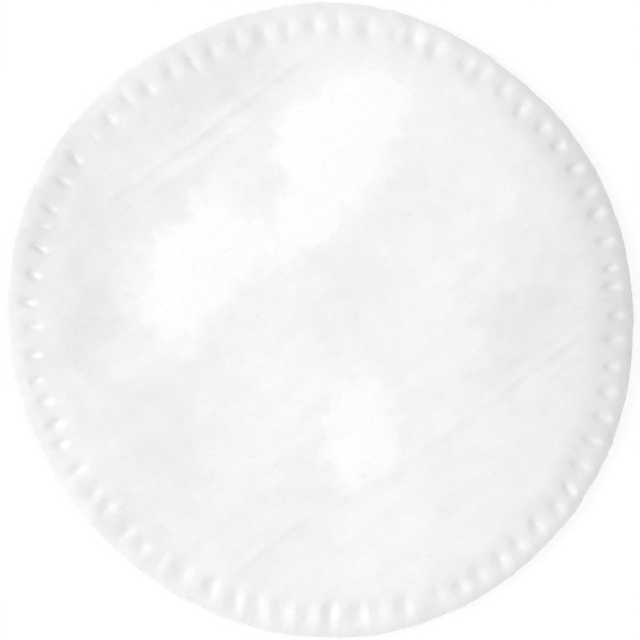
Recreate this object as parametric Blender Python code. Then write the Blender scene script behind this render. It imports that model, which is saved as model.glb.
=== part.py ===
"""Round cosmetic cotton pad, lying flat as it comes to rest.

One piece of nonwoven cotton: a soft, slightly domed disc whose rim is pressed thin
and gathered by a row of radial marks, which show on both of its faces.
All lengths are in metres. The origin is the middle of the underside and +Z is up.
"""

from math import atan2, cos, exp, pi, radians, sin, sqrt, tau

import bmesh
import bpy
from bmesh.types import BMEdge, BMVert
from mathutils import Matrix

# Outline, seen from above: a circle, slightly oval and with three slight lobes
PAD_DIAMETER = 0.0570
OVAL_SHARE = 0.0117
OVAL_ANGLE = radians(121)
LOBE_SHARE = 0.0053
LOBE_COUNT = 3
LOBE_ANGLE = radians(52)

# Heights, each counted up from the one before
RIM_LIFT = 0.0007
RIM_THICKNESS = 0.0013
SHOULDER_RISE = 0.0009
CROWN_RISE = 0.0005

# Widths, counted inwards from the cut edge
EDGE_ROUNDING = 0.0004
MARK_LENGTH = 0.0027
SHOULDER_WIDTH = 0.0017
UNDERSIDE_SLOPE = 0.0036

# How far the shoulder's slope reaches out among the marks
SHOULDER_OVERLAP = 0.0018

# The row of pressed marks: the upper face takes the larger share of their depth
MARK_COUNT = 72
FIRST_MARK_ANGLE = radians(1)
MARK_WIDTH = 0.0019
MARK_WEB = 0.0005
UPPER_DEPTH_SHARE = 0.6
ROW_DIP = 0.00012

# Soft unevenness of the upper face: mounds, and hollows where the share is negative.
# Each has its middle in shares of the radius, its share of the height, its direction
MOUND_HEIGHT = 0.00022
MOUND_LENGTH = 0.0066
MOUND_WIDTH = 0.0032
MOUNDS = (
    (0.06, 0.52, 1.0, radians(59)),
    (-0.41, 0.16, 0.9, radians(55)),
    (0.12, -0.35, 0.7, radians(115)),
    (0.63, -0.03, -0.8, radians(75)),
    (-0.50, -0.34, -0.5, radians(40)),
)

# Fineness of the mesh
STEPS_PER_MARK = 4
UPPER_MARK_BANDS = 6
LOWER_MARK_BANDS = 4
DOME_BANDS = 8
EDGE_BANDS = 2
SLOPE_BANDS = 2
WELD_DISTANCE = 0.000001

# Sizes that follow from these
PAD_RADIUS = PAD_DIAMETER / 2
RIM_MIDDLE = RIM_LIFT + RIM_THICKNESS / 2
MARKS_END = EDGE_ROUNDING + MARK_LENGTH
SHOULDER_START = MARKS_END - SHOULDER_OVERLAP
SHOULDER_END = MARKS_END + SHOULDER_WIDTH
FOOT_START = MARKS_END + UNDERSIDE_SLOPE
DOME_RADIUS = PAD_RADIUS - SHOULDER_END


def ease(share):
    """Goes from 0 to 1 with a level start and end, and stays there outside."""
    share = min(1.0, max(0.0, share))
    return share * share * (3.0 - 2.0 * share)


def bell(share):
    """Rises from 0 to 1 halfway and falls back to 0, and stays 0 outside."""
    return sin(pi * min(1.0, max(0.0, share))) ** 2


def outline_scale(angle):
    """How far the outline stands from a true circle in this direction."""
    oval = OVAL_SHARE * cos(2 * (angle - OVAL_ANGLE))
    lobes = LOBE_SHARE * cos(LOBE_COUNT * (angle - LOBE_ANGLE))
    return 1.0 + oval + lobes


def edge_height(inset):
    """Half the rim's thickness, less where the cut edge is rounded."""
    to_edge = min(1.0, inset / EDGE_ROUNDING)
    return RIM_THICKNESS / 2 * sqrt(1.0 - (1.0 - to_edge) ** 2)


def pressed_share(inset, angle):
    """1 at the bottom of a mark, 0 on the ridges and outside the row."""
    pitches = (angle - FIRST_MARK_ANGLE) * MARK_COUNT / tau
    from_middle = (pitches - round(pitches)) * tau / MARK_COUNT * (PAD_RADIUS - inset)
    across = bell(from_middle / MARK_WIDTH + 0.5)
    return bell((inset - EDGE_ROUNDING) / MARK_LENGTH) * across


def mound_height(x, y):
    """Height that the soft unevenness adds at a point of the upper face."""
    height = 0.0
    for share_x, share_y, height_share, direction in MOUNDS:
        from_x = x - share_x * PAD_RADIUS
        from_y = y - share_y * PAD_RADIUS
        along = (from_x * cos(direction) + from_y * sin(direction)) / MOUND_LENGTH
        across = (from_y * cos(direction) - from_x * sin(direction)) / MOUND_WIDTH
        height += height_share * MOUND_HEIGHT * exp(-(along**2 + across**2) / 2)
    return height


def plain_upper_height(inset, angle):
    """Height of the upper face without its marks."""
    radius = PAD_RADIUS - inset
    dip = ROW_DIP * bell((inset - EDGE_ROUNDING) / MARK_LENGTH)
    shoulder = ease((inset - SHOULDER_START) / (SHOULDER_END - SHOULDER_START))
    mounds = mound_height(radius * cos(angle), radius * sin(angle))
    dome = CROWN_RISE * max(0.0, 1.0 - (radius / DOME_RADIUS) ** 2)
    return RIM_MIDDLE + edge_height(inset) - dip + dome + shoulder * (SHOULDER_RISE + mounds)


def plain_lower_height(inset):
    """Height of the underside without its marks, 0 from the foot inwards."""
    slope = ease((inset - EDGE_ROUNDING) / (FOOT_START - EDGE_ROUNDING))
    return RIM_MIDDLE - edge_height(inset) - RIM_LIFT * slope


def pressed_depth(inset, angle):
    """How much thinner the marks make the pad at this point."""
    thickness = plain_upper_height(inset, angle) - plain_lower_height(inset)
    return (thickness - MARK_WEB) * pressed_share(inset, angle)


def upper_height(inset, angle):
    depth = UPPER_DEPTH_SHARE * pressed_depth(inset, angle)
    return plain_upper_height(inset, angle) - depth


def lower_height(inset, angle):
    depth = (1.0 - UPPER_DEPTH_SHARE) * pressed_depth(inset, angle)
    return plain_lower_height(inset) + depth


def place(vertex, inset, height_at):
    """Puts a vertex this far inside the outline, in its own direction."""
    angle = atan2(vertex.co.y, vertex.co.x)
    radius = (PAD_RADIUS - inset) * outline_scale(angle)
    vertex.co = (radius * cos(angle), radius * sin(angle), height_at(inset, angle))


def open_edges(geometry):
    return [item for item in geometry if isinstance(item, BMEdge) and item.is_boundary]


def add_disc(mesh, inset, height_at, as_fan):
    """The middle of a face, up to this inset. Returns the ring of edges around it."""
    turn = Matrix.Rotation(FIRST_MARK_ANGLE, 4, "Z")
    vertices = bmesh.ops.create_circle(
        mesh,
        cap_ends=True,
        cap_tris=as_fan,
        segments=MARK_COUNT,
        radius=PAD_RADIUS - inset,
        matrix=turn,
    )["verts"]
    for vertex in vertices:
        place(vertex, PAD_RADIUS - vertex.co.length, height_at)
    return open_edges({edge for vertex in vertices for edge in vertex.link_edges})


def grow_ring(mesh, ring, inset, height_at):
    """Extrudes a ring of edges out to this inset, and returns the new ring."""
    grown = bmesh.ops.extrude_edge_only(mesh, edges=ring)["geom"]
    for item in grown:
        if isinstance(item, BMVert):
            place(item, inset, height_at)
    return open_edges(grown)


def split_ring(mesh, ring, inset, height_at):
    """Splits each edge of a ring into the steps of a mark, and returns all the edges."""
    cuts = STEPS_PER_MARK - 1
    split = bmesh.ops.subdivide_edges(mesh, edges=ring, cuts=cuts, use_single_edge=True)["geom"]
    edges = open_edges(split)
    for vertex in {vertex for edge in edges for vertex in edge.verts}:
        place(vertex, inset, height_at)
    return edges


def add_face(mesh, coarse_insets, mark_bands, height_at, as_fan):
    """One face of the pad, from its middle out to the cut edge."""
    ring = add_disc(mesh, coarse_insets[0], height_at, as_fan)
    for inset in coarse_insets[1:]:
        ring = grow_ring(mesh, ring, inset, height_at)
    ring = split_ring(mesh, ring, coarse_insets[-1], height_at)
    for band in range(1, mark_bands + 1):
        inset = MARKS_END - MARK_LENGTH * band / mark_bands
        ring = grow_ring(mesh, ring, inset, height_at)
    for band in range(1, EDGE_BANDS + 1):
        tilt = pi / 2 * (1.0 - band / EDGE_BANDS)
        ring = grow_ring(mesh, ring, EDGE_ROUNDING * (1.0 - cos(tilt)), height_at)


def build_pad():
    """The closed mesh: the two faces, welded where they meet at the cut edge."""
    mesh = bmesh.new()
    dome_shares = [band / DOME_BANDS for band in range(1, DOME_BANDS + 1)]
    dome_insets = [PAD_RADIUS - DOME_RADIUS * share for share in dome_shares]
    slope_step = UNDERSIDE_SLOPE / SLOPE_BANDS
    slope_insets = [FOOT_START - slope_step * band for band in range(SLOPE_BANDS)]
    add_face(mesh, dome_insets + [MARKS_END], UPPER_MARK_BANDS, upper_height, as_fan=True)
    add_face(mesh, slope_insets + [MARKS_END], LOWER_MARK_BANDS, lower_height, as_fan=False)
    bmesh.ops.remove_doubles(mesh, verts=mesh.verts, dist=WELD_DISTANCE)
    bmesh.ops.recalc_face_normals(mesh, faces=mesh.faces)
    return mesh


def centre_outline(mesh):
    """Moves the mesh sideways until the box around its outline is centred."""
    for axis in (0, 1):
        places = [vertex.co[axis] for vertex in mesh.verts]
        middle = (min(places) + max(places)) / 2
        for vertex in mesh.verts:
            vertex.co[axis] -= middle


def cotton_material():
    material = bpy.data.materials.new("cotton")
    material.use_nodes = True
    shader = material.node_tree.nodes["Principled BSDF"]
    shader.inputs["Base Color"].default_value = (0.90, 0.91, 0.905, 1.0)
    shader.inputs["Roughness"].default_value = 0.95
    shader.inputs["Metallic"].default_value = 0.0
    return material


def main():
    for old_object in list(bpy.data.objects):
        bpy.data.objects.remove(old_object, do_unlink=True)
    collection = bpy.data.collections.new("cotton_pad")
    bpy.context.scene.collection.children.link(collection)
    mesh = build_pad()
    centre_outline(mesh)
    pad_mesh = bpy.data.meshes.new("cotton_pad")
    mesh.to_mesh(pad_mesh)
    mesh.free()
    pad_mesh.shade_smooth()
    pad_mesh.materials.append(cotton_material())
    collection.objects.link(bpy.data.objects.new("cotton_pad", pad_mesh))


main()
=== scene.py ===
from math import cos, hypot, pi, radians, sin, sqrt, tau
from random import Random

import bmesh
import bpy
import numpy as np
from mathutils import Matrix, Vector, noise
from mathutils.bvhtree import BVHTree


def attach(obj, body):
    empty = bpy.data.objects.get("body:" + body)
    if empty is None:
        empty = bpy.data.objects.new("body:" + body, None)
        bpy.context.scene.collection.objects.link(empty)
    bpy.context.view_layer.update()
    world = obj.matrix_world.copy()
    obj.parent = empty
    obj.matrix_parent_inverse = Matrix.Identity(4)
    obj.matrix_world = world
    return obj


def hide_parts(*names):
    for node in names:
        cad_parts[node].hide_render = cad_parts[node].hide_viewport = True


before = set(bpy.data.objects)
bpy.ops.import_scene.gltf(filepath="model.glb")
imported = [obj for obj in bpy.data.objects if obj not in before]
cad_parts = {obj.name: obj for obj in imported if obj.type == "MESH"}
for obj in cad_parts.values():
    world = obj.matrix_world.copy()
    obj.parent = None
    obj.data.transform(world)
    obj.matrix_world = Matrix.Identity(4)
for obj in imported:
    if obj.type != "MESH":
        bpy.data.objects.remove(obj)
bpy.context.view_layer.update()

# lengths are in metres and angles in degrees, here and below, unless a comment says otherwise
pad = {
    "radius": 0.0285,
    # outline waves: how many round the rim, share of the radius, direction of a crest
    "outlineWaves": [
        (2, 0.0121, 121),
        (3, 0.0055, 50),
        (4, 0.0032, -9),
        (5, 0.0020, 15),
        (6, 0.0026, 26),
        (7, 0.0013, -22),
    ],
    # unevenness of the cut edge: size, how far inwards it reaches, and its waves
    # (share of the size, length as a share of the radius, seed)
    "cutUnevenness": 0.00009,
    "cutUnevennessReach": 0.0022,
    "cutWaves": [(0.7, 0.16, 1), (0.9, 0.06, 2)],
    # the rim rises and falls by this, in waves whose length is a share of the radius
    "rimWave": 0.00006,
    "rimWaveLength": 0.04,
    # this far inwards counts as one radius in such waves
    "inwardScale": 0.03,
    # fine raggedness: size, how far inwards it reaches, lengths of its waves as shares of the
    # radius, and how much faster it changes inwards
    "frayed": 0.00004,
    "frayedReach": 0.0004,
    "frayedLength": 0.017,
    "frayedHeightLength": 0.013,
    "frayedAcrossScale": 9,
    "rimLift": 0.00078,
    "rimThickness": 0.00095,
    # the cut edge stands upright for a share of the thickness, and slopes up beyond it
    "edgeRounding": 0.0013,
    "uprightShare": 0.42,
    "uprightRounding": 0.00008,
    "slantPower": 1.9,
    "flankRise": 0.0009,
    "flankReach": 0.0028,
    "shoulderRise": 0.00014,
    "shoulderStart": 0.0016,
    "shoulderEnd": 0.0052,
    "crownRise": 0.0004,
    "undersideStart": 0.0004,
    "undersideEnd": 0.0067,
}

marks = {
    "count": 72,
    "firstAngle": 1,
    # how far inside the cut edge the row has its middle, and how far it is shifted to the right
    "middle": 0.00190,
    "ringShift": 0.00028,
    "coreHalfLength": 0.00015,
    # pairs are for the left and right, and for above and below
    "innerLength": (0.00108, 0.00135),
    "outerLength": (0.00100, 0.00150),
    "halfWidth": (0.00062, 0.00120),
    # share of the width at the inner end
    "innerWidth": (0.70, 0.80),
    "roundness": 2.0,
    "sharpness": 1.2,
    # takes the point off the deepest place
    "blunt": 0.02,
    # thickness that is left in the deepest place, and the share that is pressed in from above
    "web": 0.0005,
    "upperShare": 0.46,
    "angleScatter": 0.5,
    "tiltScatter": 9,
    "placeScatter": 0.00012,
    "depthScatter": 0.2,
    "sizeScatter": 0.12,
    # towards this direction the marks are longer, turned on, and steep on one side
    "draggedTowards": 252,
    "draggedLength": 0.35,
    "draggedTurn": 1.5,
    "draggedWidths": (0.9, 1.45),
    # at the top they are turned on too
    "topTowards": 98,
    "topTurn": 0.8,
    # towards the left they run out softly to the rim, and end steeply inwards
    "softerTowards": 178,
    "softerOuterLength": 0.4,
    "steeperInnerLength": 0.22,
    "softerOuterEnd": 0.7,
    # a painted highlight lies this far inwards of them there, on the inner walls that face the key light
    "highlightBeyond": 0.0004,
    # directions in which they are deeper or shallower, and by how much
    "depthChanges": [(185, 0.4), (325, -0.16), (112, -0.14)],
    "seed": 7,
}

mounds = {
    "height": 0.00022,
    "length": 0.0066,
    "width": 0.0032,
    # middle in shares of the radius, share of the height, direction
    "places": [
        (0.06, 0.52, 1.0, 59),
        (-0.41, 0.16, 0.9, 55),
        (0.12, -0.35, 0.7, 115),
        (0.63, -0.03, -0.8, 75),
        (-0.50, -0.34, -0.5, 40),
    ],
}

relief = {
    # the direction in which the cotton web was drawn out
    "drift": 34.5,
    # lumps: length along the drift, width across it, height
    "lumps": [(0.0065, 0.0050, 0.000035), (0.0090, 0.0014, 0.000032), (0.0022, 0.0016, 0.000012)],
    "undersideLumps": [(0.0060, 0.0045, 0.00003), (0.0080, 0.0013, 0.000025), (0.0020, 0.0014, 0.000010)],
    # on the upper face they are full from this far inside the cut edge
    "fullFrom": 0.0045,
    # creases are low ridges: half width, and how far from each end they reach their height
    "creaseHalfWidth": 0.00036,
    "creaseEnd": 0.002,
    # they sway sideways by this, in mm, and vary by a share of their height, in waves this long
    "creaseSway": 0.14,
    "creaseSwayLength": 0.0028,
    "creaseUneven": 0.4,
    "creaseUnevenLength": 0.0035,
    # height in metres, and the points that each goes through, in mm
    "creases": [
        (0.00015, [(-20.4, 10.2), (-18.8, 11.4), (-12.2, 15.9), (-4.5, 21.7), (-1.4, 24.0)]),
        (0.00009, [(-17.2, 10.6), (-11.0, 14.6), (-5.6, 18.6)]),
        (0.00008, [(-20.6, 4.6), (-14.5, 8.9)]),
        (0.00008, [(-8.4, -22.9), (-2.6, -18.6), (4.4, -14.7), (11.8, -9.7), (18.4, -4.7), (24.6, -0.4)]),
        (0.00011, [(15.7, -4.7), (22.2, -0.7)]),
        (0.00009, [(17.8, -6.6), (24.0, -2.6)]),
        (0.00003, [(-8.8, -23.3), (-1.4, -17.5)]),
    ],
}


def ease(share):
    share = np.clip(share, 0, 1)
    return share * share * (3 - 2 * share)


def softNoise(x, y, z, size, seed):
    # one value from -1 to 1 for each point, in lumps of about this size
    points = np.stack([x, y, z], -1) / size + seed * 17.3  # each seed reads another place
    return np.array([noise.noise(point) for point in points])


def outlineScale(angle):
    scale = np.ones_like(angle)
    for count, share, direction in pad["outlineWaves"]:
        scale += share * np.cos(count * (angle - radians(direction)))
    return scale


def pressedShare(inset, angle):
    # 1 at the bottom of a mark and 0 between marks, no two marks quite alike
    dice = Random(marks["seed"])
    scatter = np.array([[dice.gauss(0, 1) for _ in range(6)] for _ in range(marks["count"])])
    pitch = tau / marks["count"]
    turned = angle - radians(marks["firstAngle"]) - radians(marks["draggedTurn"]) * draggedShare(angle)
    turned -= radians(marks["topTurn"]) * towards(marks["topTowards"], angle, 2)
    nearest = np.round(turned / pitch).astype(int)
    share = np.zeros_like(angle)
    for index in (nearest - 1, nearest, nearest + 1):
        offsets = scatter[index % marks["count"]].T
        middle = index * pitch + radians(marks["angleScatter"]) * offsets[0]
        side = (turned - middle) * (pad["radius"] - inset)
        share = np.maximum(share, oneMark(inset, angle, side, offsets))
    return share


def towards(direction, angle, power):
    # 1 in this direction, falling to 0 at right angles to it
    return np.maximum(0, np.cos(angle - radians(direction))) ** power


def draggedShare(angle):
    return towards(marks["draggedTowards"], angle, 2)


def byDirection(pair, angle):
    # the first value on the left and right, the second above and below
    return pair[1] + (pair[0] - pair[1]) * np.cos(angle) ** 2


def oneMark(inset, angle, side, offsets):
    # side is how far a point lies beside the middle of the mark
    tilt = radians(marks["tiltScatter"]) * offsets[1]
    row = marks["middle"] - marks["ringShift"] * np.cos(angle) + marks["placeScatter"] * offsets[2]
    across = side * np.cos(tilt) + (inset - row) * np.sin(tilt)
    along = (inset - row) * np.cos(tilt) - side * np.sin(tilt)
    dragged = draggedShare(angle)
    steepSide, flatSide = marks["draggedWidths"]
    skew = 1 + dragged * (np.where(across > 0, steepSide, flatSide) - 1)
    softer = towards(marks["softerTowards"], angle, 2)
    inner = byDirection(marks["innerLength"], angle) * (1 - marks["steeperInnerLength"] * softer)
    outer = byDirection(marks["outerLength"], angle) * (1 + marks["draggedLength"] * dragged)
    outer *= 1 + marks["softerOuterLength"] * softer
    length = np.where(along < 0, outer, inner) * (1 + marks["sizeScatter"] * offsets[4])
    narrowed = 1 - (1 - byDirection(marks["innerWidth"], angle)) * ease(along / length)
    width = byDirection(marks["halfWidth"], angle) * (1 + marks["sizeScatter"] * offsets[5])
    width = width * skew * narrowed
    beyond = np.maximum(0, np.abs(along) - marks["coreHalfLength"]) / (length - marks["coreHalfLength"])
    power = marks["roundness"]
    away = (np.abs(across / width) ** power + beyond**power + marks["blunt"]) ** (1 / power)
    depth = 1 + sum(change * towards(direction, angle, 4) for direction, change in marks["depthChanges"])
    depth *= 1 + marks["depthScatter"] * offsets[3]
    towardsRim = ease(0.5 - 0.5 * along / length)
    sharpness = marks["sharpness"] + marks["softerOuterEnd"] * softer * towardsRim
    return np.maximum(0, 1 - away) ** sharpness * depth


def moundHeight(x, y):
    height = np.zeros_like(x)
    for shareX, shareY, share, direction in mounds["places"]:
        fromX = x - shareX * pad["radius"]
        fromY = y - shareY * pad["radius"]
        turn = radians(direction)
        along = (fromX * cos(turn) + fromY * sin(turn)) / mounds["length"]
        across = (fromY * cos(turn) - fromX * sin(turn)) / mounds["width"]
        height += share * mounds["height"] * np.exp(-(along**2 + across**2) / 2)
    return height


def faceHeights(inset, angle):
    # heights of the upper and the lower face at points this far inside the cut edge
    radius = pad["radius"] - inset
    rimMiddle = pad["rimLift"] + pad["rimThickness"] / 2
    upright = np.sqrt(1 - (1 - np.clip(inset / pad["uprightRounding"], 0, 1)) ** 2)
    slanted = 1 - (1 - np.clip(inset / pad["edgeRounding"], 0, 1)) ** pad["slantPower"]
    rounded = pad["uprightShare"] * upright + (1 - pad["uprightShare"]) * slanted
    halfRim = pad["rimThickness"] / 2 * rounded
    flank = pad["flankRise"] * (1 - np.exp(-inset / pad["flankReach"]))
    shoulder = ease((inset - pad["shoulderStart"]) / (pad["shoulderEnd"] - pad["shoulderStart"]))
    domeRadius = pad["radius"] - pad["shoulderEnd"]
    dome = pad["crownRise"] * np.maximum(0, 1 - (radius / domeRadius) ** 2)
    mound = moundHeight(radius * np.cos(angle), radius * np.sin(angle))
    upper = rimMiddle + halfRim + flank + dome + shoulder * (pad["shoulderRise"] + mound)
    slope = ease((inset - pad["undersideStart"]) / (pad["undersideEnd"] - pad["undersideStart"]))
    lower = rimMiddle - halfRim - (rimMiddle - pad["rimThickness"] / 2) * slope
    pressed = np.maximum(0, upper - lower - marks["web"]) * pressedShare(inset, angle)
    return upper - marks["upperShare"] * pressed, lower + (1 - marks["upperShare"]) * pressed


def formPoints(inset, angle, side):
    # places of the pad's points; side is 1 on top, -1 underneath and 0 on the cut edge
    upper, lower = faceHeights(inset, angle)
    aroundX = np.cos(angle)
    aroundY = np.sin(angle)
    uneven = sum(share * softNoise(aroundX, aroundY, 0 * angle, *wave) for share, *wave in pad["cutWaves"])
    nearEdge = np.exp(-inset / pad["cutUnevennessReach"])
    across = pad["frayedAcrossScale"] * side * inset / pad["radius"]
    frayed = softNoise(aroundX, aroundY, across, pad["frayedLength"], 12)
    frayed = frayed * np.exp(-inset / pad["frayedReach"])
    radius = (pad["radius"] - inset) * outlineScale(angle) + pad["cutUnevenness"] * uneven * nearEdge
    radius += pad["frayed"] * frayed
    inwards = inset / pad["inwardScale"]
    wave = uneven + softNoise(aroundX, aroundY, inwards, pad["rimWaveLength"], 6)
    frayedHeight = softNoise(aroundX, aroundY, inwards, pad["frayedHeightLength"], 13)
    height = np.where(side > 0, upper, np.where(side < 0, lower, (upper + lower) / 2))
    height += pad["rimWave"] * nearEdge * wave
    height += pad["frayed"] * side * frayedHeight * nearEdge
    return np.stack([radius * aroundX, radius * aroundY, height], -1)


def alongDrift(x, y):
    turn = radians(relief["drift"])
    return x * cos(turn) + y * sin(turn), y * cos(turn) - x * sin(turn)


def reliefHeight(x, y, inset):
    # unevenness of the upper face that is finer than its mounds
    along, across = alongDrift(x, y)
    height = np.zeros_like(x)
    for seed, (length, width, size) in enumerate(relief["lumps"]):
        height += size * softNoise(along / length, across / width, 0 * x, 1, seed + 3)
    sway = relief["creaseSway"] * softNoise(along, across, 0 * x, relief["creaseSwayLength"], 8)
    uneven = softNoise(along, across, 0 * x, relief["creaseUnevenLength"], 9)
    strength = 1 + relief["creaseUneven"] * uneven
    for size, points in relief["creases"]:
        height += size * strength * creaseShare(x * 1000 - sway, y * 1000 + sway, points)
    return height * ease(inset / relief["fullFrom"])


def undersideHeight(x, y):
    # the underside rests on its lumps, so this only ever lifts it
    along, across = alongDrift(x, y)
    height = np.zeros_like(x)
    for seed, (length, width, size) in enumerate(relief["undersideLumps"]):
        height += size * (1 + softNoise(along / length, across / width, 0 * x, 1, seed + 11))
    return height - height.min()


def creaseShare(x, y, points):
    # 1 along the line through these points, 0 away from it and at both of its ends
    share = np.zeros_like(x)
    done = 0
    total = sum(hypot(b[0] - a[0], b[1] - a[1]) for a, b in zip(points, points[1:]))
    for start, stop in zip(points, points[1:]):
        length = hypot(stop[0] - start[0], stop[1] - start[1])
        forwardX = (stop[0] - start[0]) / length
        forwardY = (stop[1] - start[1]) / length
        along = (x - start[0]) * forwardX + (y - start[1]) * forwardY
        across = (y - start[1]) * forwardX - (x - start[0]) * forwardY
        beyond = along - np.clip(along, 0, length)
        away = np.hypot(across, beyond) / (relief["creaseHalfWidth"] * 1000)
        fromEnd = np.minimum(done + along, total - done - along) / (relief["creaseEnd"] * 1000)
        share = np.maximum(share, np.exp(-(away**2)) * ease(fromEnd))
        done += length
    return share


padMesh = {
    "stepsInMiddle": 36,
    "discRadius": 0.0005,
    # where a face's rings end, from the middle out, and the gap between them
    "upperZones": [
        (0.0036, 0.0005),
        (0.0072, 0.0005),
        (0.0142, 0.0005),
        (0.0220, 0.0005),
        (0.0280, 0.00033),
    ],
    "underZones": [
        (0.0036, 0.0010),
        (0.0072, 0.0010),
        (0.0142, 0.0009),
        (0.0279, 0.0007),
        (0.0280, 0.0001),
    ],
    # the last rings lie on a quarter circle around the edge, at these tilts
    "edgeTilts": [60, 38, 20, 0],
    # the two faces are grown this far above and below the level where they meet
    "level": 0.001,
    "weld": 1e-6,
}


def growFace(mesh, level, zones):
    # a flat disc of rings, with twice the steps around in each next zone
    steps = padMesh["stepsInMiddle"]
    radius = padMesh["discRadius"]
    made = bmesh.ops.create_circle(mesh, cap_ends=True, cap_tris=True, segments=steps, radius=radius)
    disc = made["verts"]
    for vertex in disc:
        vertex.co.z = level
    ring = openEdges({edge for vertex in disc for edge in vertex.link_edges})
    for index, (stop, gap) in enumerate(zones):
        count = max(1, round((stop - radius) / gap))
        for step in range(1, count + 1):
            ring = growRing(mesh, ring, radius + (stop - radius) * step / count, level)
        radius = stop
        if index < len(zones) - 1:
            split = bmesh.ops.subdivide_edges(mesh, edges=ring, cuts=1, use_single_edge=True)
            ring = openEdges(split["geom"])
            setRadius({vertex for edge in ring for vertex in edge.verts}, radius)
    for tilt in padMesh["edgeTilts"]:
        edgeRadius = radius + (pad["radius"] - radius) * cos(radians(tilt))
        ring = growRing(mesh, ring, edgeRadius, level if tilt else 0)


def growRing(mesh, ring, radius, level):
    grown = bmesh.ops.extrude_edge_only(mesh, edges=ring)["geom"]
    vertices = [item for item in grown if isinstance(item, bmesh.types.BMVert)]
    setRadius(vertices, radius)
    for vertex in vertices:
        vertex.co.z = level
    return openEdges(grown)


def openEdges(geometry):
    return [item for item in geometry if isinstance(item, bmesh.types.BMEdge) and item.is_boundary]


def setRadius(vertices, radius):
    for vertex in vertices:
        length = hypot(vertex.co.x, vertex.co.y)
        vertex.co.x *= radius / length
        vertex.co.y *= radius / length


def readPoints(mesh):
    points = np.empty(len(mesh.vertices) * 3, np.float32)
    mesh.vertices.foreach_get("co", points)
    return points.reshape(-1, 3).astype(float)


def writePoints(mesh, points):
    mesh.vertices.foreach_set("co", points.astype(np.float32).ravel())
    mesh.update()


def writeShares(data, name, values):
    if name not in data.attributes:
        data.attributes.new(name, "FLOAT", "POINT")
    data.attributes[name].data.foreach_set("value", values.astype(np.float32))


def readShares(data, name):
    values = np.empty(len(data.vertices), np.float32)
    data.attributes[name].data.foreach_get("value", values)
    return values.astype(float)


def makePadForm():
    mesh = bmesh.new()
    growFace(mesh, padMesh["level"], padMesh["upperZones"])
    growFace(mesh, -padMesh["level"], padMesh["underZones"])
    bmesh.ops.remove_doubles(mesh, verts=mesh.verts, dist=padMesh["weld"])
    bmesh.ops.recalc_face_normals(mesh, faces=mesh.faces)
    if mesh.calc_volume(signed=True) < 0:
        bmesh.ops.reverse_faces(mesh, faces=mesh.faces)
    data = bpy.data.meshes.new("cottonPad")
    mesh.to_mesh(data)
    mesh.free()
    flat = readPoints(data)
    inset = pad["radius"] - np.hypot(flat[:, 0], flat[:, 1])
    side = np.sign(flat[:, 2])
    writePoints(data, formPoints(inset, np.arctan2(flat[:, 1], flat[:, 0]), side))
    writeShares(data, "inset", inset)
    writeShares(data, "side", side)
    padObject = bpy.data.objects.new("cottonPad", data)
    bpy.context.scene.collection.objects.link(padObject)
    return padObject


def applyModifiers(piece):
    evaluated = piece.evaluated_get(bpy.context.evaluated_depsgraph_get())
    data = bpy.data.meshes.new_from_object(evaluated)
    piece.modifiers.clear()
    piece.data = data


loft = {
    "enlarged": 40,
    "pressure": 7.0,
    "frames": 20,
    "quality": 6,
    # the farthest that a point may move
    "farthest": 0.00025,
    "mass": 0.3,
    "tension": 15,
    "shear": 5,
    "bending": 0.6,
    "airDamping": 2,
    # held from here inwards, more and more
    "heldStart": 0.0026,
    "heldEnd": 0.0075,
    # held in the marks, and along the cut edge: where that starts, and over what it fades in
    "heldMark": 0.35,
    "heldMarkFade": 0.3,
    "heldEdge": 0.0006,
    "heldEdgeFade": 0.0005,
    "axes": ("puffedX", "puffedY", "puffedZ"),
}


def puffUp(piece):
    # cloth on an enlarged copy of the mesh: the cotton swells between the places that hold it
    data = piece.data
    before = readPoints(data)
    inset = readShares(data, "inset")
    upperSide = readShares(data, "side") > 0
    pressed = pressedShare(inset, np.arctan2(before[:, 1], before[:, 0]))
    copy = bpy.data.objects.new("puffing", data.copy())
    bpy.context.scene.collection.objects.link(copy)
    writePoints(copy.data, before * loft["enlarged"])
    middle = ease((inset - loft["heldStart"]) / (loft["heldEnd"] - loft["heldStart"]))
    held = np.where(upperSide, middle, 1.0)
    held = np.maximum(held, ease((pressed - loft["heldMark"]) / loft["heldMarkFade"]))
    held = np.maximum(held, ease((loft["heldEdge"] - inset) / loft["heldEdgeFade"]))
    group = copy.vertex_groups.new(name="held")
    for index, weight in enumerate(held):
        group.add([index], float(weight), "REPLACE")
    cloth = copy.modifiers.new("puff", "CLOTH")
    settings = cloth.settings
    settings.quality = loft["quality"]
    settings.mass = loft["mass"]
    settings.tension_stiffness = loft["tension"]
    settings.compression_stiffness = loft["tension"]
    settings.shear_stiffness = loft["shear"]
    settings.bending_stiffness = loft["bending"]
    settings.air_damping = loft["airDamping"]
    settings.use_pressure = True
    settings.uniform_pressure_force = loft["pressure"]
    settings.effector_weights.gravity = 0
    settings.vertex_group_mass = "held"
    settings.pin_stiffness = 1
    cloth.collision_settings.use_collision = False
    cloth.point_cache.frame_start = 1
    cloth.point_cache.frame_end = loft["frames"]
    for frameNumber in range(1, loft["frames"] + 1):
        bpy.context.scene.frame_set(frameNumber)
    applyModifiers(copy)
    bpy.context.scene.frame_set(1)
    moved = readPoints(copy.data) / loft["enlarged"] - before
    bpy.data.objects.remove(copy)
    length = np.linalg.norm(moved, axis=1)
    print("puffed up by, in mm at most:", round(1000 * length.max(), 3))
    shortened = loft["farthest"] * np.tanh(length / loft["farthest"])
    moved *= (shortened / np.maximum(length, 1e-9))[:, None]
    for axis, name in enumerate(loft["axes"]):
        writeShares(data, name, moved[:, axis])


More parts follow.
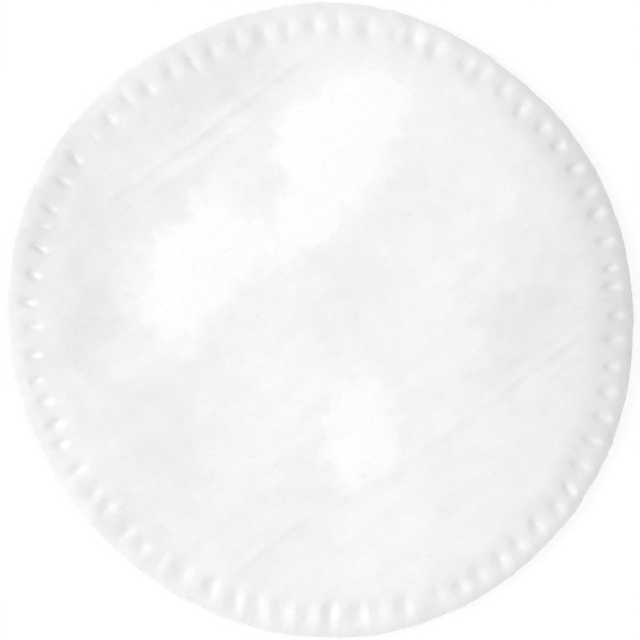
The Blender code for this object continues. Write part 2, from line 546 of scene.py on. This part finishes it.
def finishPad(piece):
    # one subdivision, then the exact form and the fine relief at the new points
    subdivision = piece.modifiers.new("soften", "SUBSURF")
    subdivision.levels = 1
    subdivision.render_levels = 1
    applyModifiers(piece)
    data = piece.data
    rough = readPoints(data)
    inset = readShares(data, "inset")
    side = readShares(data, "side")
    angle = np.arctan2(rough[:, 1], rough[:, 0])
    points = formPoints(inset, angle, side)
    for axis, name in enumerate(loft["axes"]):
        if name in data.attributes:
            points[:, axis] += readShares(data, name)
            data.attributes.remove(data.attributes[name])
    upper = np.maximum(0, side)
    points[:, 2] += upper * reliefHeight(points[:, 0], points[:, 1], inset)
    points[:, 2] += np.maximum(0, -side) * undersideHeight(points[:, 0], points[:, 1])
    shift = (points[:, :2].max(axis=0) + points[:, :2].min(axis=0)) / 2
    print("outline centred by moving it, in mm:", np.round(-1000 * shift, 3))
    points[:, :2] -= shift
    writePoints(data, points)
    writeShares(data, "pressed", pressedShare(inset, angle))
    # painted highlight on the inner walls of the marks towards the left, which face the key light
    left = towards(marks["softerTowards"], angle, 2)
    writeShares(data, "highlightShare", left * pressedShare(inset - marks["highlightBeyond"], angle) ** 2)
    data.shade_smooth()


cotton = {
    # its colour lies between these two, at this share, and each step brighter adds to the share
    "shade": (0.703, 0.722, 0.707, 1),
    "light": (0.981, 0.995, 0.996, 1),
    "plain": 0.74,
    "step": 0.034,
    # soft patches, partly the web's own clouds and partly painted light and shade: middle in mm, half
    # length and half width in mm, direction, softness, steps brighter
    "cloudsAndPaintedLight": [
        # brighter patches are partly denser web and partly painted light on slopes that face the key
        # light; the darker ones are largely painted shade, near the rims where the key light falls off and
        # on slopes that face away from it
        (1.6, 15.2, 7.4, 4.6, 66, 0.38, 8.5),
        (5.6, 18.8, 3.6, 2.4, 20, 0.5, 4.5),
        (-2.0, 17.6, 3.4, 2.4, 80, 0.5, 5.0),
        (-10.7, 4.8, 7.5, 3.9, 62, 0.38, 9.0),
        (-2.6, 7.4, 3.8, 2.2, 42, 0.6, 5.5),
        (3.7, -10.0, 4.9, 2.9, 89, 0.4, 7.5),
        (-8.4, 22.2, 6.0, 2.6, 35, 0.7, -4.5),
        (-20.4, 4.8, 6.5, 2.8, 80, 0.7, -4.5),
        (19.8, -3.8, 6.5, 3.6, 75, 0.8, -4.0),
        (-13.6, -13.2, 6.5, 3.4, 130, 0.8, -4.0),
        (18.4, -15.5, 6.0, 3.0, 45, 0.8, -2.4),
        (9.6, 2.0, 6.5, 4.0, 70, 0.9, 1.8),
        (-4.6, -7.0, 4.5, 3.8, 20, 0.8, 2.6),
        (5.4, -19.8, 6.0, 3.0, 70, 0.8, 2.6),
        (-8.0, -14.0, 3.2, 2.2, 60, 0.8, 1.6),
        (13.5, 12.5, 6.0, 3.5, 60, 0.9, 1.0),
        (26.0, 8.4, 12.0, 6.0, 110, 0.7, -8.2),
        (26.5, -7.0, 9.0, 4.5, 75, 0.8, -6.0),
        (19.0, 19.0, 9.0, 4.5, 135, 0.8, -2.6),
        (-23.6, 3.0, 12.0, 4.5, 88, 0.7, -6.5),
        (-15.2, 18.6, 11.0, 4.2, 40, 0.7, -6.0),
        (18.0, -0.5, 6.0, 3.2, 62, 0.7, -5.5),
        (-14.6, -8.6, 6.5, 5.0, 60, 0.9, -3.0),
        (-4.6, -20.2, 6.0, 1.8, 42, 0.8, -3.0),
        (3.8, 2.6, 4.2, 3.4, 70, 0.8, -2.6),
        (-1.2, -15.0, 4.5, 1.8, 85, 0.8, -2.0),
        (13.8, -10.0, 6.0, 3.0, 60, 0.8, -0.8),
        (-15.0, 9.6, 4.0, 2.4, 48, 0.6, -4.0),
        (-5.4, 11.2, 2.2, 1.5, 50, 0.6, -2.2),
        (-5.6, 21.8, 3.0, 2.6, 60, 0.8, -3.2),
        (16.6, 4.2, 5.2, 3.2, 80, 0.8, -2.6),
        (10.2, 10.4, 4.2, 3.0, 40, 0.8, -2.2),
        (-20.2, -1.8, 3.2, 2.2, 80, 0.8, -4.0),
        (-16.0, -19.2, 4.4, 1.7, 140, 0.8, -5.0),
        (-19.8, -15.5, 3.4, 1.6, 128, 0.8, -3.0),
        (-25.3, 9.4, 7.5, 1.6, 70, 0.8, -5.5),
    ],
    # noises that lead these patches' outlines astray: scale for each metre, distance, detail
    "patchWander": [(260, 0.0052, 3), (800, 0.0034, 4)],
    # painted shade darkens the rim, where light passes through the thin cotton and shade falls in the
    # marks, from and up to these distances inside the cut; painted light brightens the rounded cut, which
    # the lamps leave in shade
    "rimStart": 0.0048,
    "rimEnd": 0.0012,
    "rimPaintedShade": 4.0,
    "cutWidth": 0.00035,
    "cutPaintedLight": 4.0,
    # painted light: the marks are lightened against the shade that falls in them, and for their highlights
    "pressedPaintedLight": 4.5,
    # painted highlight on the inner walls of the marks towards the left, which face the key light
    "paintedHighlight": 4.0,
    # bands, lines, lumps and grain of the web: scales for each metre along and across the drift,
    # strength in steps, detail
    "webNoises": [(70, 420, 3.0, 2), (60, 1500, 3.2, 1), (420, 420, 12.0, 4), (2600, 2600, 3.2, 3)],
    "webRoughness": 0.55,
    # fine tangled fibres: height, scale for each metre, direction and stretch of each layer
    "fibreRelief": 0.000015,
    "fibreScale": 5200,
    "fibreLayers": [(34, 9), (-28, 7), (83, 8), (140, 7)],
    # what leads them astray, and the dimples too: scale for each metre, distance, detail
    "fibreWander": (700, 0.0011, 1),
    # dimples: direction, scales for each metre along and across it
    "dimples": [(34.5, 250, 750), (-12, 280, 760), (8, 360, 640)],
    "dimpleSize": 0.13,
    "dimpleDepth": 0.000016,
    # painted shade: the dimples are darkened in their colour by this many steps, for the shade that falls
    # between the fibres
    "dimplePaintedShade": 5.0,
    "dimpleWander": (1500, 0.0003, 1),
    # the share of the cells that stay without one
    "dimplesLeftOut": 0.6,
    # pressed cotton shines a little: its roughness falls from the first value to the second
    "roughness": 0.92,
    "pressedRoughness": 0.7,
    "pressedFully": 0.5,
    "specular": 0.4,
    "sheen": 0.08,
    "sheenRoughness": 0.5,
}


def addNode(tree, kind, inputs=None, **settings):
    node = tree.nodes.new("ShaderNode" + kind)
    for name, value in settings.items():
        setattr(node, name, value)
    for key, value in (inputs or {}).items():
        if isinstance(value, bpy.types.NodeSocket):
            tree.links.new(value, node.inputs[key])
        else:
            node.inputs[key].default_value = value
    return node


def addMath(tree, operation, first, second=0.0, third=0.0):
    return addNode(tree, "Math", {0: first, 1: second, 2: third}, operation=operation).outputs[0]


def addPlace(tree, coordinates, middle, size, direction):
    # coordinates in which the patch of this middle, size and direction is a unit ball
    turn = (0, 0, radians(direction))
    inputs = {"Vector": coordinates, "Location": middle, "Rotation": turn, "Scale": size}
    return addNode(tree, "Mapping", inputs, vector_type="TEXTURE").outputs[0]


def addFade(tree, value, start, end, low=0.0, high=1.0):
    inputs = {"Value": value, "From Min": start, "From Max": end, "To Min": low, "To Max": high}
    return addNode(tree, "MapRange", inputs, interpolation_type="SMOOTHSTEP").outputs[0]


def addNoise(tree, coordinates, scale, detail, roughness=0.5, output=0):
    inputs = {"Vector": coordinates, "Scale": scale, "Detail": detail, "Roughness": roughness}
    return addNode(tree, "TexNoise", inputs).outputs[output]


def addWander(tree, coordinates, scale, distance, detail):
    # the same coordinates, led astray by a noise
    inputs = {0: addNoise(tree, coordinates, scale, detail, output=1), 1: (0.5, 0.5, 0.5)}
    centred = addNode(tree, "VectorMath", inputs, operation="SUBTRACT").outputs[0]
    inputs = {0: centred, 1: (distance, distance, distance), 2: coordinates}
    return addNode(tree, "VectorMath", inputs, operation="MULTIPLY_ADD").outputs[0]


def addTurned(tree, coordinates, direction):
    # coordinates whose first axis runs in this direction
    inputs = {"Vector": coordinates, "Rotation": (0, 0, -radians(direction))}
    return addNode(tree, "Mapping", inputs).outputs[0]


def addStretched(tree, coordinates, scale):
    return addNode(tree, "VectorMath", {0: coordinates, 1: scale}, operation="MULTIPLY").outputs[0]


def addShares(tree, name):
    # values that are kept at the pad's points
    return addNode(tree, "Attribute", attribute_name=name).outputs["Fac"]


def addCloudsAndPaintedLight(tree, place):
    # whiter where the cotton lies denser and greyer where it is thin, with painted light and shade laid
    # over it: brighter where slopes face the key light, darker towards the rims where that light falls
    # off, and on slopes that face away from it
    wandering = place
    for wander in cotton["patchWander"]:
        wandering = addWander(tree, wandering, *wander)
    steps = 0.0
    for x, y, length, width, direction, softness, change in cotton["cloudsAndPaintedLight"]:
        size = (length * 0.001, width * 0.001, 1)
        local = addPlace(tree, wandering, (x * 0.001, y * 0.001, 0), size, direction)
        away = addNode(tree, "VectorMath", {0: local}, operation="LENGTH").outputs["Value"]
        part = addFade(tree, away, 1 + softness, 1 - softness)
        steps = addMath(tree, "MULTIPLY_ADD", part, change, steps)
    return steps


def addWebNoise(tree, drifting, steps):
    for along, across, strength, detail in cotton["webNoises"]:
        stretched = addStretched(tree, drifting, (along, across, along))
        value = addNoise(tree, stretched, 1, detail, cotton["webRoughness"])
        steps = addMath(tree, "MULTIPLY_ADD", addMath(tree, "SUBTRACT", value, 0.5), strength, steps)
    return steps


def addDimples(tree, place):
    # 1 in short narrow dimples between the fibres
    wandering = addWander(tree, place, *cotton["dimpleWander"])
    deepest = 0.0
    for direction, along, across in cotton["dimples"]:
        spaced = addStretched(tree, addTurned(tree, wandering, direction), (along, across, 1))
        cells = addNode(tree, "TexVoronoi", {"Vector": spaced, "Scale": 1.0}, voronoi_dimensions="2D")
        part = addFade(tree, cells.outputs["Distance"], cotton["dimpleSize"], 0.0)
        chance = addNode(tree, "SeparateColor", {"Color": cells.outputs["Color"]}).outputs[0]
        part = addMath(tree, "MULTIPLY", part, addFade(tree, chance, cotton["dimplesLeftOut"], 1.0))
        deepest = addMath(tree, "MAXIMUM", part, deepest)
    return deepest


def addFibreRelief(tree, place, dimples):
    # relief too fine for the mesh: tangled fibres, and the dimples between them
    height = addMath(tree, "MULTIPLY", dimples, -cotton["dimpleDepth"] / cotton["fibreRelief"])
    wandering = addWander(tree, place, *cotton["fibreWander"])
    for direction, stretch in cotton["fibreLayers"]:
        turned = addTurned(tree, wandering, direction)
        stretched = addStretched(tree, turned, (1 / stretch, 1, 1 / stretch))
        tangle = addNoise(tree, stretched, cotton["fibreScale"], 1)
        ridges = addMath(tree, "ABSOLUTE", addMath(tree, "SUBTRACT", tangle, 0.5))
        height = addMath(tree, "MULTIPLY_ADD", ridges, -1.0, height)
    inputs = {"Strength": 1.0, "Distance": cotton["fibreRelief"], "Height": height}
    return addNode(tree, "Bump", inputs).outputs[0]


def makeCottonMaterial():
    material = bpy.data.materials.new("cotton")
    material.use_nodes = True
    tree = material.node_tree
    shader = tree.nodes["Principled BSDF"]
    place = addNode(tree, "TexCoord").outputs["Object"]
    drifting = addTurned(tree, place, relief["drift"])
    steps = addWebNoise(tree, drifting, addCloudsAndPaintedLight(tree, place))
    inset = addShares(tree, "inset")
    nearRim = addFade(tree, inset, cotton["rimStart"], cotton["rimEnd"])
    # painted shade towards the rim
    steps = addMath(tree, "MULTIPLY_ADD", nearRim, -cotton["rimPaintedShade"], steps)
    nearCut = addFade(tree, inset, cotton["cutWidth"], 0.0)
    # painted light on the rounded cut edge, which the lamps leave in shade
    steps = addMath(tree, "MULTIPLY_ADD", nearCut, cotton["cutPaintedLight"], steps)
    pressed = addShares(tree, "pressed")
    # painted light in the marks
    steps = addMath(tree, "MULTIPLY_ADD", pressed, cotton["pressedPaintedLight"], steps)
    # painted highlight on the marks' inner walls that face the key light
    steps = addMath(tree, "MULTIPLY_ADD", addShares(tree, "highlightShare"), cotton["paintedHighlight"], steps)
    dimples = addDimples(tree, place)
    # painted shade in the dimples
    steps = addMath(tree, "MULTIPLY_ADD", dimples, -cotton["dimplePaintedShade"], steps)
    share = addMath(tree, "MULTIPLY_ADD", steps, cotton["step"], cotton["plain"])
    colour = addNode(tree, "Mix", {0: share, 6: cotton["shade"], 7: cotton["light"]}, data_type="RGBA")
    tree.links.new(colour.outputs[2], shader.inputs["Base Color"])
    tree.links.new(addFibreRelief(tree, place, dimples), shader.inputs["Normal"])
    levels = (cotton["roughness"], cotton["pressedRoughness"])
    roughness = addFade(tree, pressed, 0.0, cotton["pressedFully"], *levels)
    tree.links.new(roughness, shader.inputs["Roughness"])
    shader.inputs["Specular IOR Level"].default_value = cotton["specular"]
    shader.inputs["Sheen Weight"].default_value = cotton["sheen"]
    shader.inputs["Sheen Roughness"].default_value = cotton["sheenRoughness"]
    return material


fibres = {
    "seed": 21,
    # strands stay off places that are steeper than this upright part of the normal
    "levelEnough": 0.95,
    # they start and lie at least this far inside the cut edge
    "startMargin": 0.0006,
    "rimMargin": 0.0005,
    # strands on the underside and loose ends keep this far above the floor
    "lowest": 0.00004,
    # a strand is this share of its radius at its tips
    "tip": 0.55,
    # how far off the pad the search for its surface starts, above, below and beside it
    "farAbove": 0.01,
    "farBeside": 0.04,
}

# strands that lie on a face: points in each, step between them, bend at each point,
# and how far their middle is raised off the face, as a share of their radius
upperFibres = {
    "strands": 2500,
    "points": 10,
    "step": 0.00037,
    "bend": 19,
    "radius": 0.000007,
    "raised": 0.15,
}

undersideFibres = {**upperFibres, "strands": 1200}

# small knots of cotton, half sunk in the upper face
cottonKnots = {
    "strands": 600,
    "points": 4,
    "step": 0.00012,
    "bend": 55,
    "radius": 0.00003,
    "raised": -0.02,
}

# loose ends that stand out from the cut edge and up from the upper face
looseEnds = {
    "onRim": 1900,
    "onFace": 500,
    "points": 5,
    "rimStep": 0.00011,
    "faceStep": 0.00016,
    "stepScatter": 0.45,
    "bend": 28,
    "radius": 0.000006,
    # how far their direction scatters at the start, and wavers at each point
    "spread": 0.7,
    "waver": 0.2,
    # they start between these shares of the rim's thickness
    "lowestStart": 0.15,
    "highestStart": 0.95,
    # on the face they keep this far from the cut edge, and lean up by this much
    "faceMargin": 0.001,
    "upwards": 0.5,
}

fibreFinish = {
    "shade": (0.93, 0.95, 0.945, 1),
    "light": (0.99, 1.0, 1.0, 1),
    # noises: scale for each metre, detail, roughness
    "mottle": (900, 3, 0.6),
    "twist": (9000, 1),
    "twistStretch": 3,
    "twistStrength": 0.6,
    "twistHeight": 0.000004,
    "roughness": 0.7,
    "sheen": 0.08,
}


def layStrand(dice, surface, strand, side):
    # one strand along a face, or None where it would leave the face
    reach = (pad["radius"] - fibres["startMargin"]) * sqrt(dice.random())
    turn = dice.uniform(0, tau)
    x = reach * cos(turn)
    y = reach * sin(turn)
    heading = dice.uniform(0, tau)
    curl = dice.gauss(0, strand["bend"])
    far = fibres["farAbove"]
    points = []
    for _ in range(strand["points"]):
        hit, normal = surface.ray_cast(Vector((x, y, side * far)), Vector((0, 0, -side)), 2 * far)[:2]
        if hit is None or hypot(x, y) > pad["radius"] - fibres["rimMargin"]:
            return None
        if abs(normal.z) < fibres["levelEnough"] or (side < 0 and hit.z < fibres["lowest"]):
            return None
        points.append((x, y, hit.z + side * strand["radius"] * strand["raised"]))
        heading += radians(curl + dice.gauss(0, strand["bend"]))
        x += strand["step"] * cos(heading)
        y += strand["step"] * sin(heading)
    return points


def scattered(dice, amount):
    return Vector([dice.gauss(0, amount) for _ in range(3)])


def growStrand(dice, start, outwards, step):
    # one loose end from a point of the surface, or None where it would reach too low
    heading = outwards + scattered(dice, looseEnds["spread"])
    heading.normalize()
    length = step * dice.lognormvariate(0, looseEnds["stepScatter"])
    curl = scattered(dice, 1) * radians(looseEnds["bend"])
    place = Vector(start)
    points = []
    for _ in range(looseEnds["points"]):
        points.append(tuple(place))
        place = place + heading * length
        heading = (heading + curl.cross(heading) + scattered(dice, looseEnds["waver"])).normalized()
        if place.z < fibres["lowest"]:
            return None
    return points


def makeStrandPiece(name, strands, radius, material):
    curve = bpy.data.curves.new(name, "CURVE")
    curve.dimensions = "3D"
    curve.bevel_depth = radius
    curve.bevel_resolution = 0
    curve.use_fill_caps = True
    for points in strands:
        spline = curve.splines.new("POLY")
        last = len(points) - 1
        spline.points.add(last)
        spline.points.foreach_set("co", [value for point in points for value in (*point, 1)])
        swell = [(1 - fibres["tip"]) * sin(pi * index / last) for index in range(last + 1)]
        spline.points.foreach_set("radius", [fibres["tip"] + share for share in swell])
    curve.materials.append(material)
    piece = bpy.data.objects.new(name, curve)
    bpy.context.scene.collection.objects.link(piece)
    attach(piece, "root")
    print(name, "made:", len(strands), "strands")


def makeFibreMaterial():
    material = bpy.data.materials.new("cottonFibre")
    material.use_nodes = True
    tree = material.node_tree
    shader = tree.nodes["Principled BSDF"]
    place = addNode(tree, "TexCoord").outputs["Object"]
    mottle = addNoise(tree, place, *fibreFinish["mottle"])
    inputs = {0: mottle, 6: fibreFinish["shade"], 7: fibreFinish["light"]}
    colour = addNode(tree, "Mix", inputs, data_type="RGBA")
    tree.links.new(colour.outputs[2], shader.inputs["Base Color"])
    twisted = addStretched(tree, place, (1, 1, fibreFinish["twistStretch"]))
    twist = addNoise(tree, twisted, *fibreFinish["twist"])
    inputs = {"Distance": fibreFinish["twistHeight"], "Height": twist}
    bump = addNode(tree, "Bump", {"Strength": fibreFinish["twistStrength"], **inputs})
    tree.links.new(bump.outputs[0], shader.inputs["Normal"])
    shader.inputs["Roughness"].default_value = fibreFinish["roughness"]
    shader.inputs["Sheen Weight"].default_value = fibreFinish["sheen"]
    return material


def addFibres(padObject):
    dice = Random(fibres["seed"])
    surface = BVHTree.FromObject(padObject, bpy.context.evaluated_depsgraph_get())
    material = makeFibreMaterial()
    for name, strand, side in (
        ("upperFibres", upperFibres, 1),
        ("undersideFibres", undersideFibres, -1),
        ("cottonKnots", cottonKnots, 1),
    ):
        laid = []
        while len(laid) < strand["strands"]:
            points = layStrand(dice, surface, strand, side)
            if points:
                laid.append(points)
        makeStrandPiece(name, laid, strand["radius"], material)
    ends = growRimEnds(dice, surface) + growFaceEnds(dice, surface)
    makeStrandPiece("looseEnds", ends, looseEnds["radius"], material)


def growRimEnds(dice, surface):
    far = fibres["farBeside"]
    ends = []
    while len(ends) < looseEnds["onRim"]:
        turn = dice.uniform(0, tau)
        share = dice.uniform(looseEnds["lowestStart"], looseEnds["highestStart"])
        start = Vector((cos(turn) * far, sin(turn) * far, pad["rimLift"] + pad["rimThickness"] * share))
        outwards = Vector((cos(turn), sin(turn), 0))
        hit = surface.ray_cast(start, -outwards, far)[0]
        points = growStrand(dice, hit, outwards, looseEnds["rimStep"])
        if points:
            ends.append(points)
    return ends


def growFaceEnds(dice, surface):
    far = fibres["farAbove"]
    ends = []
    while len(ends) < looseEnds["onFace"]:
        reach = (pad["radius"] - looseEnds["faceMargin"]) * sqrt(dice.random())
        turn = dice.uniform(0, tau)
        start = Vector((reach * cos(turn), reach * sin(turn), far))
        hit = surface.ray_cast(start, Vector((0, 0, -1)), 2 * far)[0]
        points = growStrand(dice, hit, Vector((0, 0, looseEnds["upwards"])), looseEnds["faceStep"])
        if points:
            ends.append(points)
    return ends


stage = {
    # in mm
    "lens": 200,
    "sensor": 36,
    # width of the photo, and the pad's place and radius in it, in pixels
    "framePixels": 640,
    "padCentreX": 320.7,
    "padCentreY": 319.8,
    "padRadiusPixels": 314,
    "floorSide": 4,
    "floorGap": 0.00003,
    # the pad is lit by a plain floor, and the camera sees a glowing one
    "floorColour": 0.85,
    "floorSeenColour": 0.12,
    "floorSeenGlow": 0.89,
    # soft light from all around, and a key light from the left
    "fillLevel": 0.7,
    "keyLevel": 0.3,
    "keyElevation": 52,
    "keyDirection": 177,
    "keySoftness": 14,
}


def makeCamera():
    pixel = pad["radius"] / stage["padRadiusPixels"]
    camera = bpy.data.cameras.new("camera")
    camera.lens = stage["lens"]
    camera.sensor_width = stage["sensor"]
    distance = pixel * stage["framePixels"] * stage["lens"] / stage["sensor"]
    camera.clip_start = distance / 10
    camera.clip_end = distance * 20
    cameraObject = bpy.data.objects.new("camera", camera)
    middle = stage["framePixels"] / 2
    cameraObject.location.x = (middle - stage["padCentreX"]) * pixel
    cameraObject.location.y = (stage["padCentreY"] - middle) * pixel
    cameraObject.location.z = distance + pad["rimLift"] + pad["rimThickness"] / 2
    bpy.context.scene.collection.objects.link(cameraObject)
    bpy.context.scene.camera = cameraObject


def makeLights():
    world = bpy.data.worlds.new("studio")
    bpy.context.scene.world = world
    world.use_nodes = True
    nodes = world.node_tree.nodes
    links = world.node_tree.links
    fill = nodes["Background"]
    fill.inputs["Color"].default_value = (1, 1, 1, 1)
    fill.inputs["Strength"].default_value = stage["fillLevel"]
    shown = nodes.new("ShaderNodeBackground")
    shown.inputs["Strength"].default_value = 1
    choice = nodes.new("ShaderNodeMixShader")
    links.new(seenRay(nodes, links), choice.inputs["Fac"])
    links.new(fill.outputs[0], choice.inputs[1])
    links.new(shown.outputs[0], choice.inputs[2])
    links.new(choice.outputs[0], nodes["World Output"].inputs["Surface"])

    key = bpy.data.lights.new("key", "SUN")
    elevation = radians(stage["keyElevation"])
    key.energy = stage["keyLevel"] * pi / sin(elevation)
    key.angle = radians(stage["keySoftness"])
    keyObject = bpy.data.objects.new("key", key)
    turn = radians(stage["keyDirection"])
    keyPlace = Vector((cos(turn) * cos(elevation), sin(turn) * cos(elevation), sin(elevation)))
    keyObject.rotation_euler = keyPlace.to_track_quat("Z", "Y").to_euler()
    bpy.context.scene.collection.objects.link(keyObject)


def seenRay(nodes, links):
    # 1 for camera, glossy and transmission rays, which all see the white background
    path = nodes.new("ShaderNodeLightPath")
    first = nodes.new("ShaderNodeMath")
    first.operation = "MAXIMUM"
    links.new(path.outputs["Is Camera Ray"], first.inputs[0])
    links.new(path.outputs["Is Glossy Ray"], first.inputs[1])
    second = nodes.new("ShaderNodeMath")
    second.operation = "MAXIMUM"
    links.new(first.outputs[0], second.inputs[0])
    links.new(path.outputs["Is Transmission Ray"], second.inputs[1])
    return second.outputs[0]


def makeFloor():
    mesh = bmesh.new()
    bmesh.ops.create_grid(mesh, x_segments=1, y_segments=1, size=stage["floorSide"] / 2)
    data = bpy.data.meshes.new("floor")
    mesh.to_mesh(data)
    mesh.free()
    material = bpy.data.materials.new("floor")
    material.use_nodes = True
    nodes = material.node_tree.nodes
    links = material.node_tree.links
    plain = nodes["Principled BSDF"]
    seen = nodes.new("ShaderNodeBsdfPrincipled")
    for shader, grey in ((plain, stage["floorColour"]), (seen, stage["floorSeenColour"])):
        shader.inputs["Base Color"].default_value = (grey, grey, grey, 1)
        shader.inputs["Roughness"].default_value = 1
        shader.inputs["Specular IOR Level"].default_value = 0
    seen.inputs["Emission Color"].default_value = (1, 1, 1, 1)
    seen.inputs["Emission Strength"].default_value = stage["floorSeenGlow"]
    choice = nodes.new("ShaderNodeMixShader")
    links.new(seenRay(nodes, links), choice.inputs["Fac"])
    links.new(plain.outputs[0], choice.inputs[1])
    links.new(seen.outputs[0], choice.inputs[2])
    links.new(choice.outputs[0], nodes["Material Output"].inputs["Surface"])
    data.materials.append(material)
    floor = bpy.data.objects.new("floor", data)
    floor.location.z = -stage["floorGap"]
    bpy.context.scene.collection.objects.link(floor)


bpy.context.scene.view_settings.view_transform = "Standard"
makeCamera()
makeLights()
makeFloor()
print("camera, lights and floor made")

padObject = makePadForm()
puffUp(padObject)
finishPad(padObject)
padObject.data.materials.clear()
padObject.data.materials.append(makeCottonMaterial())
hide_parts("cotton_pad")
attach(padObject, "root")
print("pad made:", len(padObject.data.vertices), "points")
addFibres(padObject)
